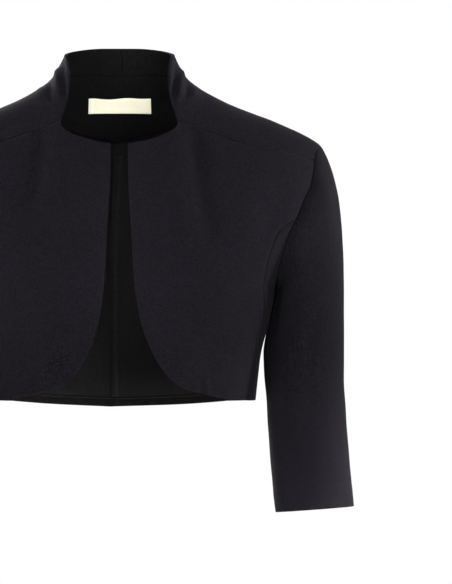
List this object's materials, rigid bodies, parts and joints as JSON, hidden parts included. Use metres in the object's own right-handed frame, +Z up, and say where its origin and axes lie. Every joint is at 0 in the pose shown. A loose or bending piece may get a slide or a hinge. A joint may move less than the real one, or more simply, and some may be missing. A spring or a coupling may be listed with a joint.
{
  "type": "bolero jacket",
  "caption": "Cropped bolero jacket with a funnel collar, set-in three-quarter sleeves, princess seams and rounded open fronts, filled out as when worn.",
  "frame": {"origin": "between the shoulders, at the level where the collar rises from them, where the wearer's neck and shoulders hold the jacket", "axes": "+Z up, -Y out of the open front, +X to the wearer's left"},
  "size_m": [0.4828, 0.2257, 0.4782],
  "materials": {
    "outer_cloth": "matte",
    "inner_cloth": "matte",
    "woven_label": "satin"
  },
  "bodies": {
    "root": {"front_left": "outer_cloth", "front_right": "outer_cloth", "side_left": "outer_cloth", "side_right": "outer_cloth", "back_left": "outer_cloth", "back_right": "outer_cloth", "sleeve_left": "outer_cloth", "sleeve_right": "outer_cloth", "collar_facing_left": "inner_cloth", "collar_facing_right": "inner_cloth", "neck_facing": "inner_cloth", "label": "woven_label", "back_seam_allowance": "inner_cloth", "hem_turnup": "inner_cloth"}
  },
  "joints": []
}
